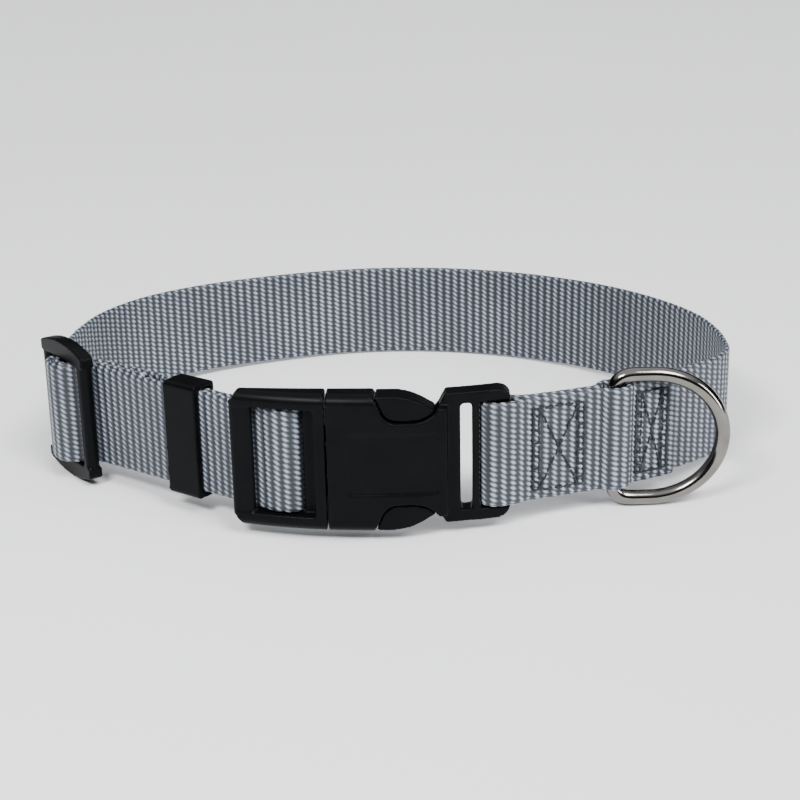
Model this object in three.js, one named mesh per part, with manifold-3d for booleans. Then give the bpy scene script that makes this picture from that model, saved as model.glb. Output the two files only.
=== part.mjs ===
// A dog collar: one long woven strap closed by a side-release buckle, with a slider that sets its length,
// a keeper that holds the doubled stretch together and a welded D-ring in a sewn pocket.
// Millimetres, +Z up. The strap stands on edge, its width upright, and the buckle lies along X at the
// front (-Y).
// In plan, "out" is away from the neck and "in" is towards it.
import * as THREE from 'three';
import { mergeVertices } from 'three/addons/utils/BufferGeometryUtils.js';
import { ConvexHull } from 'three/addons/math/ConvexHull.js';
import Module from 'manifold-3d';

const wasm = await Module();
wasm.setup();

const degrees = Math.PI / 180;

// Strap
const strapWidth = 25;
const strapThick = 1.6;
const layerGap = 0.35;              // between two layers of the strap
const clearance = 0.3;              // between the strap and each hard piece
const longestStep = 4;              // of the strap's line where it runs straight
const sharpestStep = 7;             // degrees that the strap's line turns in one step
const arcStep = 12;                 // degrees between the points that lay out an arc of the line
const samplesEachMm = 3;            // along the line, to choose its steps from
const layerPitch = strapThick + layerGap;
const hug = clearance + strapThick / 2;   // from a bar's surface to the middle of a strap that goes round it

// The loop in plan, over the strap
const loopWidth = 166;
const loopDepth = 118;

// Line of the strap behind the sewn stretch, right to left: shares of half the loop's width and depth.
const loopLine = [
  { across: 0.945, back: -0.415 },
  { across: 0.990, back: -0.283 },
  { across: 0.993, back: -0.202 },
  { across: 0.986, back: -0.049 },
  { across: 0.948, back: 0.168 },
  { across: 0.845, back: 0.417 },
  { across: 0.673, back: 0.665 },
  { across: 0.413, back: 0.876 },
  { across: 0.140, back: 0.978 },
  { across: -0.135, back: 0.978 },
  { across: -0.405, back: 0.877 },
  { across: -0.660, back: 0.707 },
  { across: -0.828, back: 0.509 },
  { across: -0.926, back: 0.276 },
  { across: -0.960, back: 0.083 },
  { across: -0.972, back: -0.060 },
];

// Sewn stretch at the front right, as lengths along the strap from the buckle's end bar
const sewnHeadingStart = 15.2;       // degrees from X
const sewnHeadingEnd = 31.5;
const firstBoxLead = 6.5;           // from the end bar to the first stitched box
const firstBoxLength = 13;
const pocketLength = 14;            // open pocket for the ring's bar, between the two boxes
const pocketPlateau = 2;            // where the pocket's walls stand furthest apart
const pocketSlack = 0.35;           // for the bends at the ends of the ring's bar
const ringInPocket = 0.666;         // the bar's place, as a share of the pocket's length
const secondBoxLength = 9.5;
const cutEndTail = 2;               // from the second box to the strap's cut end
const sewnLength = firstBoxLead + firstBoxLength + pocketLength + secondBoxLength + cutEndTail;
const pocketStart = firstBoxLead + firstBoxLength;
const ringStation = pocketStart + ringInPocket * pocketLength;

// Buckle, along X from the plane where its halves meet
const buckleAcross = -0.033;        // middle of the buckle, as a share of half the loop's width
const buckleBack = -1.059;          // its foremost point, as a share of half the loop's depth
const faceRadius = 100;             // the outer face's curve in plan
const backRadius = 380;             // the inner face's curve in plan
const buckleDepth = 7.8;
const partingGap = 0.3;
const maleLength = 21.9;
const bodyLength = 27;
const frameLength = 14.2;
const buckleRail = 3.55;            // above and below the strap, on the male half and the body
const frameRail = 2.7;
const outerRound = 2.4;             // rounding of the long edges
const edgeSteps = 4;
const cornerRound = 5;              // rounding of the male half's outer corners, seen from the front
const maleEndRound = 1.2;           // the same in plan
const maleBarWidth = 5.4;
const maleBarDepth = 2.6;
const maleSlot = 4.4;               // on each side of the middle bar
const middleBarWidth = 5;
const middleBarDepth = 2.6;
const middleBarInset = 3;           // from the face to the middle bar, so that the strap lies below the face
const outerBarInset = 0.2;
const panelLength = 20.7;           // bare sunk panel on the body's face
const panelHeight = 14.6;
const panelSunk = 0.3;
const panelStart = 4.6;
const panelCorner = 1.2;
const waistHeight = 19.4;           // body between its two side recesses
const recessStart = 10.5;
const recessFloorStart = 13.3;
const recessFloorEnd = 23.4;
const recessRise = 26.6;
const recessStartRound = 4;
const recessEndRound = 7;
const shellWall = 1.7;
const frameCorner = 3;
const frameInset = 2.6;             // the frame's face lies behind the body's
const frameDepth = 4.9;
const lightSlotStart = 2.9;         // narrow open slot, from the frame's start
const lightSlotWidth = 2.6;
const thinBarWidth = 1.7;
const endBarWidth = 4.6;
const endBarDepth = 2.8;
const prongClearance = 0.3;
const prongThick = 2.6;
const padTop = 15.9;                // half height over the two prong pads
const padLength = 15;               // along the recess, where the pad slopes down to its floor
const padCrownLength = 7.5;         // level part of the pad's top
const padTipDrop = 4.5;
const padRound = 14;
const padInset = 0.7;               // the pad's face lies behind the body's
const edgeRound = 0.8;              // small rounding of moulded edges
const guideHeight = 6;
const guideLength = 18;
const prongHeight = 7.6;            // half height between the outsides of the prongs

// Slider
const sliderAcross = -0.938;
const sliderBack = -0.381;
const sliderHeading = -52;          // degrees from X
const sliderLength = 22;
const sliderDepth = 3.4;
const sliderRail = 4.5;              // above and below the strap at the slider's middle
const sliderEndRail = 2.6;          // the same at its ends: the rails' outer edges are arched
const railSteps = 8;
const sliderBarWidth = 3.8;
const sliderMiddleWidth = 4;
const sliderMiddleDepth = 2.4;
const sliderCorner = 0.8;
const sewnLegLength = 14.5;          // sewn end of the strap past the slider's bar
const gatherLength = 11;            // past the sewn end, where two layers come together
const gatherRadius = 10;
const foldRadius = 3;               // inner layer's bend beside the male half's outer bar
const foldFromBar = 2;

// Keeper
const keeperLength = 9.6;
const keeperWall = 1.5;
const keeperRail = 1.1;
const keeperFromBar = 20.3;          // from the male half's outer bar, along the strap
const keeperCorner = 1;
const keeperInnerCorner = 0.2;

// D-ring
const ringWire = 3.5;
const ringStraight = 9;             // straight part of each arm, from the bar's axis
const ringReach = 25.6;             // from the bar's axis to the middle of the wire at the bow
const ringCorner = 3.8;             // bend between the bar and each arm
const ringOpen = 22.6;              // degrees that the ring stands off the strap
const ringEndPlay = 0.6;            // along its bar, besides the clearance: the ring hangs lower by this
const ringSides = 12;
const ringSteps = 64;

// Modelling aids
const bite = 1;                     // overlap of two solids that are joined
const plateSteps = 12;              // along a curved plate
const capSteps = 12;                // round the end bar

// Weight of each material, in grams for each cubic millimetre, to find how the collar stands
const density = { webbing: 0.00075, plastic: 0.00141, steel: 0.00785 };

const webbing = new THREE.MeshStandardMaterial({ color: 0x99a3ad, roughness: 0.75, metalness: 0 });
const plastic = new THREE.MeshStandardMaterial({ color: 0x17191c, roughness: 0.42, metalness: 0 });
const nickel = new THREE.MeshStandardMaterial({ color: 0xb8b2a8, roughness: 0.22, metalness: 1 });

// Outline helpers

// Points of a polygon whose corners, rows of [x, y, radius], are rounded by arcs.
function rounded(corners, steps = 5) {
  const points = [];
  corners.forEach(([x, y, radius], i) => {
    const corner = new THREE.Vector2(x, y);
    if (!radius) {
      points.push(corner);
      return;
    }
    const before = corners[(i + corners.length - 1) % corners.length];
    const after = corners[(i + 1) % corners.length];
    const toBefore = new THREE.Vector2(before[0], before[1]).sub(corner).normalize();
    const toAfter = new THREE.Vector2(after[0], after[1]).sub(corner).normalize();
    const halfAngle = Math.acos(THREE.MathUtils.clamp(toBefore.dot(toAfter), -1, 1)) / 2;
    const middle = toBefore.clone().add(toAfter).normalize();
    const centre = corner.clone().addScaledVector(middle, radius / Math.sin(halfAngle));
    const start = corner.clone().addScaledVector(toBefore, radius / Math.tan(halfAngle)).sub(centre);
    const end = corner.clone().addScaledVector(toAfter, radius / Math.tan(halfAngle)).sub(centre);
    const sweep = Math.atan2(start.cross(end), start.dot(end));
    for (let k = 0; k <= steps; k += 1) {
      const spoke = start.clone().rotateAround(new THREE.Vector2(), sweep * k / steps);
      points.push(centre.clone().add(spoke));
    }
  });
  return points;
}

// Rectangle between two corners, with one rounding.
function roundedBox(x0, y0, x1, y1, radius, steps = 5) {
  return rounded([[x0, y0, radius], [x1, y0, radius], [x1, y1, radius], [x0, y1, radius]], steps);
}

// Section of a bar: a slot shape of the given width and depth, its long side turned to the given heading.
function barSection(centre, width, depth, heading = 0) {
  const half = width / 2;
  const round = 0.49 * depth;
  const points = roundedBox(-half, -depth / 2, half, depth / 2, round, 6);
  return points.map((p) => p.rotateAround(new THREE.Vector2(), heading).add(centre));
}

// Solid helpers

// Prism with its outline in the plane across the axis: (x, y) for z, (y, z) for x and (x, z) for y.
function prism(axis, outline, from, to) {
  const flipped = axis === 'y';
  const shape = new THREE.Shape(outline.map((p) => (flipped ? new THREE.Vector2(p.y, p.x) : p)));
  const geometry = new THREE.ExtrudeGeometry(shape, { depth: to - from, bevelEnabled: false });
  geometry.translate(0, 0, from);
  const basis = new THREE.Matrix4();
  const [ex, ey, ez] = [new THREE.Vector3(1, 0, 0), new THREE.Vector3(0, 1, 0), new THREE.Vector3(0, 0, 1)];
  if (axis === 'x') basis.makeBasis(ey, ez, ex);
  if (axis === 'y') basis.makeBasis(ez, ex, ey);
  geometry.applyMatrix4(basis);
  return solid(geometry);
}

// A closed geometry as a solid that can be joined and cut.
function solid(geometry) {
  const bare = geometry.clone();
  bare.deleteAttribute('normal');
  bare.deleteAttribute('uv');
  const merged = mergeVertices(bare, 1e-4);
  const mesh = new wasm.Mesh({
    numProp: 3,
    vertProperties: new Float32Array(merged.attributes.position.array),
    triVerts: new Uint32Array(merged.index.array),
  });
  return new wasm.Manifold(mesh);
}

function geometryOf(body) {
  const { vertProperties, triVerts } = body.getMesh();
  const geometry = new THREE.BufferGeometry();
  geometry.setAttribute('position', new THREE.BufferAttribute(Float32Array.from(vertProperties), 3));
  geometry.setIndex(new THREE.BufferAttribute(Uint32Array.from(triVerts), 1));
  geometry.computeVertexNormals();
  return geometry;
}

function piece(name, shape, material, grams) {
  const geometry = shape.isBufferGeometry ? shape : geometryOf(shape);
  const mesh = new THREE.Mesh(geometry, material);
  mesh.name = name;
  mesh.userData.density = grams;
  return mesh;
}

// Plan helpers

const plan = (x, y) => new THREE.Vector2(x, y);
const heading = (angle) => new THREE.Vector2(Math.cos(angle), Math.sin(angle));

// Right-hand side of a direction of travel. Travelling anticlockwise round the loop, it points out.
const rightOf = (angle) => new THREE.Vector2(Math.sin(angle), -Math.cos(angle));

// A place in plan from a local frame: along its heading and out from it.
function placed(frame, along, out) {
  return frame.centre.clone()
    .addScaledVector(heading(frame.angle), along)
    .addScaledVector(rightOf(frame.angle), out);
}

// Line of a strip pulled taut round circles, each { centre, radius, turn }, with turn 1 for anticlockwise
// and -1 for clockwise: straight tangents joined by arcs. A radius of 0 is a point on the line.
function pulled(circles) {
  const headings = circles.slice(1).map((next, i) => {
    const here = circles[i];
    const between = next.centre.clone().sub(here.centre);
    const offset = next.radius * next.turn - here.radius * here.turn;
    return between.angle() - Math.asin(offset / between.length());
  });
  const points = [];
  circles.forEach((circle, i) => {
    const arrive = headings[Math.max(i - 1, 0)];
    const leave = headings[Math.min(i, headings.length - 1)];
    const turned = THREE.MathUtils.euclideanModulo(circle.turn * (leave - arrive), 2 * Math.PI);
    const sweep = i === 0 || i === circles.length - 1 || turned > 1.5 * Math.PI ? 0 : turned;
    const steps = Math.max(1, Math.ceil(sweep / (arcStep * degrees)));
    for (let k = 0; k <= (sweep ? steps : 0); k += 1) {
      const angle = arrive + circle.turn * sweep * k / steps;
      points.push(circle.centre.clone().addScaledVector(rightOf(angle), circle.radius * circle.turn));
    }
  });
  return points;
}

// Smooth hump: 1 at no distance, 0 beyond the span.
const hump = (distance, span) => (distance < span ? Math.cos(Math.PI / 2 * distance / span) ** 2 : 0);

// Places that the strap and the hard pieces share

const buckleLength = maleLength + bodyLength + frameLength;
const reach = buckleLength;         // half length of a cutting block, beyond every hard piece
const buckleCrown = buckleLength / 2 - maleLength;     // middle of the buckle, from the parting plane
const buckleFrame = { centre: plan(buckleAcross * loopWidth / 2 - buckleCrown, buckleBack * loopDepth / 2) };
const faceAt = (x) => faceRadius - Math.sqrt(faceRadius ** 2 - (x - buckleCrown) ** 2);
const backAt = (x) => buckleDepth + backRadius - Math.sqrt(backRadius ** 2 - (x - buckleCrown) ** 2);

const endBarStart = bodyLength + frameLength - endBarWidth;
const endBarHeading = sewnHeadingStart * degrees;
const endBarCap = plan(endBarStart + endBarDepth / 2, faceAt(endBarStart) + frameInset + frameDepth / 2);
const endBarCentre = endBarCap.clone()
  .addScaledVector(heading(endBarHeading), (endBarWidth - endBarDepth) / 2);

// A bar of the male half: its middle in the buckle's frame, its size, and the face's slope that it follows.
function maleBar(middle, width, depth, inset) {
  const slope = Math.asin((middle - buckleCrown) / faceRadius);
  return { centre: plan(middle, faceAt(middle) + inset + depth / 2), width, depth, slope };
}
const outerBar = maleBar(-maleLength + maleBarWidth / 2, maleBarWidth, maleBarDepth, outerBarInset);
const middleBar = maleBar(
  -maleLength + maleBarWidth + maleSlot + middleBarWidth / 2, middleBarWidth, middleBarDepth, middleBarInset);

const sliderFrame = {
  centre: plan(sliderAcross * loopWidth / 2, sliderBack * loopDepth / 2),
  angle: sliderHeading * degrees,
};
const sliderBarOffset = (sliderLength - sliderBarWidth) / 2;

const ringBarLift = ringWire / 2 + hug + pocketSlack;
const inBuckle = (point) => buckleFrame.centre.clone().add(point);

// Line of the sewn stretch, midway between its two layers, and its heading
function sewnLine(station) {
  const turn = (sewnHeadingEnd - sewnHeadingStart) * degrees / sewnLength;
  const angle = sewnHeadingStart * degrees + turn * station;
  const centre = inBuckle(endBarCap).addScaledVector(rightOf(sewnHeadingStart * degrees), -1 / turn);
  return { centre: centre.addScaledVector(rightOf(angle), 1 / turn), angle };
}

// Half the distance between the two sewn layers: they part round the end bar and round the ring's bar.
function sewnHalf(station) {
  const endBarLift = endBarDepth / 2 + hug;
  const pastBar = Math.max(0, station - (endBarWidth - endBarDepth));
  const atEndBar = (endBarLift - layerPitch / 2) * hump(pastBar, firstBoxLead);
  const pastPlateau = Math.max(0, Math.abs(station - ringStation) - pocketPlateau / 2);
  const toBox = pocketStart + pocketLength - ringStation;
  const atRing = (ringBarLift - layerPitch / 2) * hump(pastPlateau, toBox - pocketPlateau / 2);
  return layerPitch / 2 + atEndBar + atRing;
}

const ringFrame = sewnLine(ringStation);

// Circles that hold the strap in the slider and the male half, for a strap with the given layers under it
const barCircle = (centre, depth, layers, turn) => {
  const radius = depth / 2 + hug + layers * layerPitch;
  return { centre, radius, turn };
};

function sliderCircle(bar, layers, turn) {
  const capOffset = (sliderMiddleWidth - sliderMiddleDepth) / 2;
  const offsets = {
    near: -sliderBarOffset, middleNear: -capOffset, middleFar: capOffset, far: sliderBarOffset,
  };
  const depth = bar === 'near' || bar === 'far' ? sliderBarWidth : sliderMiddleDepth;
  return barCircle(placed(sliderFrame, offsets[bar], 0), depth, layers, turn);
}

function maleCircle(bar, side, layers, turn) {
  const cap = bar.centre.clone().addScaledVector(heading(bar.slope), side * (bar.width - bar.depth) / 2);
  return barCircle(inBuckle(cap), bar.depth, layers, turn);
}

// The doubled stretch at the front left runs straight from the slider to the male half.
const doubledRun = pulled([sliderCircle('far', 0, -1), maleCircle(outerBar, 1, 0, -1)]);
const doubledAngle = doubledRun[1].clone().sub(doubledRun[0]).angle();
const doubledFrame = { centre: doubledRun[1], angle: doubledAngle };
const keeperFrame = { centre: placed(doubledFrame, -keeperFromBar, -layerPitch / 2), angle: doubledAngle };

// A free bend where a layer leaves or joins a line under the given number of layers: turn -1 bends it
// towards the neck and 1 away from it, for a strap that runs back from the buckle.
const freeBend = (along, layers, radius, turn) => ({
  centre: placed(doubledFrame, along, -layers * layerPitch + turn * radius),
  radius,
  turn,
});

// Line of the whole strap, from its cut end at the second stitched box to its sewn end at the slider
function strapLine() {
  const points = [];
  for (let station = sewnLength; station > 0; station -= 1) {
    const line = sewnLine(station);
    points.push(placed(line, 0, sewnHalf(station)));
  }
  const cap = sewnLine(0);
  for (let k = 0; k <= capSteps; k += 1) {
    const spoke = rightOf(cap.angle).multiplyScalar(sewnHalf(0));
    spoke.rotateAround(plan(0, 0), -Math.PI * k / capSteps);
    points.push(cap.centre.clone().add(spoke));
  }
  for (let station = 1; station < sewnLength; station += 1) {
    points.push(placed(sewnLine(station), 0, -sewnHalf(station)));
  }
  const loop = loopLine.map((row) => plan(row.across * loopWidth / 2, row.back * loopDepth / 2));
  points.push(...loop);
  const start = { centre: loop[loop.length - 1], radius: 0, turn: 1 };
  const legEnd = sewnLegLength - doubledRun[0].distanceTo(doubledRun[1]);
  const end = { centre: placed(doubledFrame, legEnd, -layerPitch), radius: 0, turn: 1 };
  const threaded = pulled([
    start,
    sliderCircle('near', 0, -1),
    sliderCircle('middleNear', 1, 1),
    sliderCircle('middleFar', 1, 1),
    sliderCircle('far', 0, -1),
    maleCircle(outerBar, 1, 0, -1),
    maleCircle(middleBar, -1, 0, 1),
    maleCircle(middleBar, 1, 0, 1),
    maleCircle(middleBar, -1, 0, 1),
    freeBend(-foldFromBar, 1, foldRadius, -1),
    freeBend(legEnd + gatherLength, 1, gatherRadius, -1),
    freeBend(legEnd + layerPitch, 2, gatherRadius, 1),
    sliderCircle('far', 2, 1),
    sliderCircle('middleNear', 0, 1),
    sliderCircle('middleFar', 0, 1),
    sliderCircle('far', 1, -1),
    end,
  ]);
  points.push(...threaded.slice(1));
  return new THREE.CatmullRomCurve3(points.map((p) => new THREE.Vector3(p.x, p.y, 0)), false, 'centripetal');
}

// Pieces, each in the collar's frame with the strap's middle at z = 0

function strap() {
  const line = strapLine();
  line.arcLengthDivisions = line.points.length * plateSteps;
  const steps = Math.ceil(line.getLength() * samplesEachMm);
  const outside = [];
  const inside = [];
  let last = null;
  for (let k = 0; k <= steps; k += 1) {
    const point = line.getPointAt(k / steps);
    const tangent = line.getTangentAt(k / steps);
    const far = !last || point.distanceTo(last.point) > longestStep;
    if (far || tangent.angleTo(last.tangent) > sharpestStep * degrees || k === steps) {
      const side = plan(tangent.y, -tangent.x).multiplyScalar(strapThick / 2);
      outside.push(plan(point.x, point.y).add(side));
      inside.push(plan(point.x, point.y).sub(side));
      last = { point, tangent };
    }
  }
  const outline = new THREE.Shape([...outside, ...inside.reverse()]);
  const geometry = new THREE.ExtrudeGeometry(outline, { depth: strapWidth, bevelEnabled: false });
  geometry.translate(0, 0, -strapWidth / 2);
  return piece('strap', geometry, webbing, density.webbing);
}

// Plan of a curved plate between two stations, from the line of its front to the line of its back. The
// rounding is for its first two corners.
function curvedPlan(from, to, front, back, round = 0) {
  const stations = Array.from({ length: plateSteps + 1 }, (_, k) => from + (to - from) * k / plateSteps);
  const face = stations.map((x) => [x, front(x), 0]);
  const rear = stations.map((x) => [x, back(x), 0]).reverse();
  face[0][2] = round;
  rear[rear.length - 1][2] = round;
  return rounded([...face, ...rear]);
}

// A moulded body: what the outline seen from the front and the outline in plan have in common.
function moulded(front, planOutline) {
  return prism('y', front, -reach, reach).intersect(prism('z', planOutline, -reach, reach));
}

const stripHalf = strapWidth / 2 + clearance;
const bodyHalf = stripHalf + buckleRail;
const frameHalf = stripHalf + frameRail;

// Outline of the body and its frame seen from the front, with a recess on each side for a prong's pad
const recessLine = (side) => [
  [recessStart, side * bodyHalf, edgeRound],
  [recessFloorStart, side * waistHeight / 2, recessStartRound],
  [recessFloorEnd, side * waistHeight / 2, recessEndRound],
  [recessRise, side * frameHalf, edgeRound],
  [bodyLength + frameLength, side * frameHalf, frameCorner],
];
const femaleOutline = rounded([
  [partingGap / 2, bodyHalf, edgeRound],
  ...recessLine(1),
  ...recessLine(-1).reverse(),
  [partingGap / 2, -bodyHalf, edgeRound],
]);

// Softens the four long edges of a body whose face and back follow the buckle's curves.
function softened(body, halfHeight, from, to, front, back) {
  const middle = (from + to) / 2;
  let result = body;
  for (const side of [1, -1]) {
    for (const [edge, inwards] of [[front, 1], [back, -1]]) {
      const outer = edge(middle) - inwards * reach;
      const wedge = [plan(outer, side * reach), plan(outer, side * (halfHeight - outerRound))];
      for (let k = 0; k <= edgeSteps; k += 1) {
        const angle = Math.PI / 2 * k / edgeSteps;
        const depth = outerRound * (1 - Math.cos(angle));
        const drop = outerRound * (1 - Math.sin(angle));
        wedge.push(plan(edge(middle) + inwards * depth, side * (halfHeight - drop)));
      }
      wedge.push(plan(edge(middle) + inwards * outerRound, side * reach));
      for (let k = 0; k < plateSteps; k += 1) {
        const x0 = from + (to - from) * k / plateSteps;
        const x1 = from + (to - from) * (k + 1) / plateSteps;
        const shift = edge((x0 + x1) / 2) - edge(middle);
        const outline = wedge.map((p) => plan(p.x + shift, p.y));
        result = result.subtract(prism('x', outline, x0, x1));
      }
    }
  }
  return result;
}

// Lines in plan of the space inside the body, drawn in by a margin
const hollowFace = (margin) => (x) => faceAt(x) + shellWall + margin;
const hollowBack = (margin) => (x) => backAt(x) - shellWall - margin;

function buckleFemale() {
  const end = bodyLength + frameLength;
  const bodyPlan = curvedPlan(partingGap / 2, bodyLength, faceAt, backAt);
  const frameFace = (x) => faceAt(x) + frameInset;
  const frameBack = (x) => frameFace(x) + frameDepth;
  const framePlan = curvedPlan(bodyLength - shellWall, end, frameFace, frameBack);
  const whole = softened(moulded(femaleOutline, bodyPlan), bodyHalf, 0, bodyLength, faceAt, backAt);
  const shoulders = prism('y', roundedBox(recessFloorEnd, -reach, reach, reach, 0), -reach, reach)
    .subtract(prism('z', roundedBox(-reach, -reach, reach, reach, 0), -stripHalf, stripHalf));
  const shell = whole.subtract(shoulders);
  const hollowHalf = bodyHalf - shellWall;
  const hollow = prism('z',
    curvedPlan(-bite, bodyLength - shellWall, hollowFace(0), hollowBack(0)), -hollowHalf, hollowHalf);
  const panelOutline = roundedBox(
    panelStart, -panelHeight / 2, panelStart + panelLength, panelHeight / 2, panelCorner);
  const panel = moulded(panelOutline, curvedPlan(0, bodyLength, () => -bite, (x) => faceAt(x) + panelSunk));
  const lightSlot = bodyLength + lightSlotStart;
  const strapSlot = lightSlot + lightSlotWidth + thinBarWidth;
  const openings = prism('y',
    roundedBox(lightSlot, -stripHalf, lightSlot + lightSlotWidth, stripHalf, edgeRound), -reach, reach)
    .add(prism('y', roundedBox(strapSlot, -stripHalf, end + bite, stripHalf, 0), -reach, reach));
  const endBar = prism('z',
    barSection(endBarCentre, endBarWidth, endBarDepth, endBarHeading), -stripHalf - bite, stripHalf + bite);
  const frame = moulded(femaleOutline, framePlan).subtract(openings);
  const body = shell.subtract(hollow).subtract(panel).add(frame);
  return piece('buckle_female', body.add(endBar), plastic, density.plastic);
}

// The male half's prong: an arm in the hollow of the body that ends in a pad in the side recess.
function prong(side) {
  const floor = waistHeight / 2;
  const padStart = recessStart + prongClearance;
  const padEnd = padStart + padLength;
  const armEnd = bodyLength - shellWall - 3 * prongClearance;
  const armInside = prongHeight - prongThick;
  const armOutline = rounded([
    [-bite, side * armInside, 0],
    [armEnd, side * armInside, edgeRound],
    [armEnd, side * (floor - prongClearance), edgeRound],
    [recessFloorEnd, side * (floor + bite), 0],
    [recessFloorStart, side * (floor + bite), 0],
    [recessStart - prongThick, side * prongHeight, 0],
    [-bite, side * prongHeight, 0],
  ]);
  const padOutline = rounded([
    [padStart, side * floor, 0],
    [padStart, side * padTop, edgeRound],
    [padStart + padCrownLength, side * padTop, padRound],
    [padEnd, side * (padTop - padTipDrop), 0],
    [padEnd, side * floor, 0],
  ]);
  const padFace = (x) => faceAt(x) + padInset;
  const padBack = (x) => backAt(x) - padInset;
  const padPlan = curvedPlan(padStart - bite, padEnd + bite, padFace, padBack);
  let pad = moulded(padOutline, padPlan);
  const round = prism('y', femaleOutline, -reach, reach);
  for (const [dx, dz] of [[prongClearance, 0], [-prongClearance, 0], [0, side * prongClearance]]) {
    pad = pad.subtract(round.translate(dx, 0, dz));
  }
  const armPlan = curvedPlan(-bite, armEnd + bite, hollowFace(prongClearance), hollowBack(prongClearance));
  return moulded(armOutline, armPlan).add(pad);
}

function buckleMale() {
  const end = -partingGap / 2;
  const front = rounded([
    [-maleLength, bodyHalf, cornerRound],
    [-maleLength, -bodyHalf, cornerRound],
    [end, -bodyHalf, edgeRound],
    [end, bodyHalf, edgeRound],
  ]);
  const basePlan = curvedPlan(-maleLength, end, faceAt, backAt, maleEndRound);
  const base = softened(moulded(front, basePlan), bodyHalf, -maleLength, 0, faceAt, backAt);
  const windowEnd = -maleLength + maleBarWidth + maleSlot + middleBarWidth + maleSlot;
  const window = prism('y', roundedBox(-reach, -stripHalf, windowEnd, stripHalf, 0), -reach, reach);
  const bar = ({ centre, width, depth, slope }) => prism('z',
    barSection(centre, width, depth, slope), -stripHalf - bite, stripHalf + bite);
  const guidePlan = curvedPlan(-bite, guideLength, hollowFace(prongClearance), hollowBack(prongClearance));
  const guide = prism('z', guidePlan, -guideHeight / 2, guideHeight / 2);
  const body = base.subtract(window).add(bar(outerBar)).add(bar(middleBar)).add(guide);
  return piece('buckle_male', body.add(prong(1)).add(prong(-1)), plastic, density.plastic);
}

function slider() {
  const half = sliderLength / 2;
  const arch = Array.from({ length: railSteps + 1 }, (_, k) => {
    const x = half * (1 - 2 * k / railSteps);
    const corner = k === 0 || k === railSteps ? sliderCorner : 0;
    return [x, stripHalf + sliderRail - (sliderRail - sliderEndRail) * (x / half) ** 2, corner];
  });
  const front = rounded([...arch, ...arch.map(([x, z, corner]) => [-x, -z, corner])]);
  const rails = prism('y', front, -sliderDepth / 2, sliderDepth / 2)
    .subtract(prism('y', roundedBox(-sliderLength, -stripHalf, sliderLength, stripHalf, 0), -reach, reach));
  const bar = (x, width, depth) => prism('z',
    barSection(plan(x, 0), width, depth), -stripHalf - bite, stripHalf + bite);
  return piece('slider',
    rails.add(bar(-sliderBarOffset, sliderBarWidth, sliderDepth))
      .add(bar(0, sliderMiddleWidth, sliderMiddleDepth))
      .add(bar(sliderBarOffset, sliderBarWidth, sliderDepth)),
    plastic, density.plastic);
}

function keeper() {
  const innerDepth = strapThick + layerPitch + 2 * clearance;
  const outerDepth = innerDepth + 2 * keeperWall;
  const outerHalf = stripHalf + keeperRail;
  const outer = prism('x',
    roundedBox(-outerDepth / 2, -outerHalf, outerDepth / 2, outerHalf, keeperCorner),
    -keeperLength / 2, keeperLength / 2);
  const inner = prism('x',
    roundedBox(-innerDepth / 2, -stripHalf, innerDepth / 2, stripHalf, keeperInnerCorner),
    -reach, reach);
  return piece('keeper', outer.subtract(inner), plastic, density.plastic);
}

// Centre line of the D-ring, with its bar on the z axis and its bow towards +x
function ringLine() {
  const arm = stripHalf + ringEndPlay + ringWire / 2;
  const half = new THREE.CurvePath();
  const at = (x, z) => new THREE.Vector3(x, 0, z);
  half.add(new THREE.LineCurve3(at(0, 0), at(0, arm - ringCorner)));
  half.add(new THREE.QuadraticBezierCurve3(at(0, arm - ringCorner), at(0, arm), at(ringCorner, arm)));
  half.add(new THREE.LineCurve3(at(ringCorner, arm), at(ringStraight, arm)));
  const bow = new THREE.EllipseCurve(ringStraight, 0, ringReach - ringStraight, arm, Math.PI / 2, 0, true);
  const bowPoints = bow.getPoints(24).map((p) => at(p.x, p.y));
  half.add(new THREE.CatmullRomCurve3(bowPoints));
  const upper = half.getSpacedPoints(ringSteps / 2);
  const lower = upper.slice(1, -1).reverse().map((p) => at(p.x, -p.z));
  return [...upper, ...lower];
}

// The D-ring: a ring grid whose round wire is carried along the closed centre line.
function dRing() {
  const line = ringLine();
  const geometry = new THREE.TorusGeometry(1, ringWire / 2, ringSides, line.length);
  const position = geometry.attributes.position;
  for (let side = 0; side <= ringSides; side += 1) {
    for (let step = 0; step <= line.length; step += 1) {
      const here = line[step % line.length];
      const next = line[(step + 1) % line.length];
      const last = line[(step + line.length - 1) % line.length];
      const tangent = next.clone().sub(last).normalize();
      const inwards = new THREE.Vector3(tangent.z, 0, -tangent.x);
      const turn = 2 * Math.PI * side / ringSides;
      const point = here.clone()
        .addScaledVector(inwards, -ringWire / 2 * Math.cos(turn))
        .add(new THREE.Vector3(0, ringWire / 2 * Math.sin(turn), 0));
      position.setXYZ(side * (line.length + 1) + step, point.x, point.y, point.z);
    }
  }
  return piece('d_ring', geometryOf(solid(geometry)), nickel, density.steel);
}

// Assembly

function at(mesh, centre, angle, height = 0) {
  mesh.position.set(centre.x, centre.y, height);
  mesh.rotation.z = angle;
  return mesh;
}

const assembly = new THREE.Group();
assembly.add(
  strap(),
  at(buckleFemale(), buckleFrame.centre, 0),
  at(buckleMale(), buckleFrame.centre, 0),
  at(slider(), sliderFrame.centre, sliderFrame.angle),
  at(keeper(), keeperFrame.centre, keeperFrame.angle),
  at(dRing(), ringFrame.centre, ringFrame.angle - ringOpen * degrees, -ringEndPlay),
);

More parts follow.
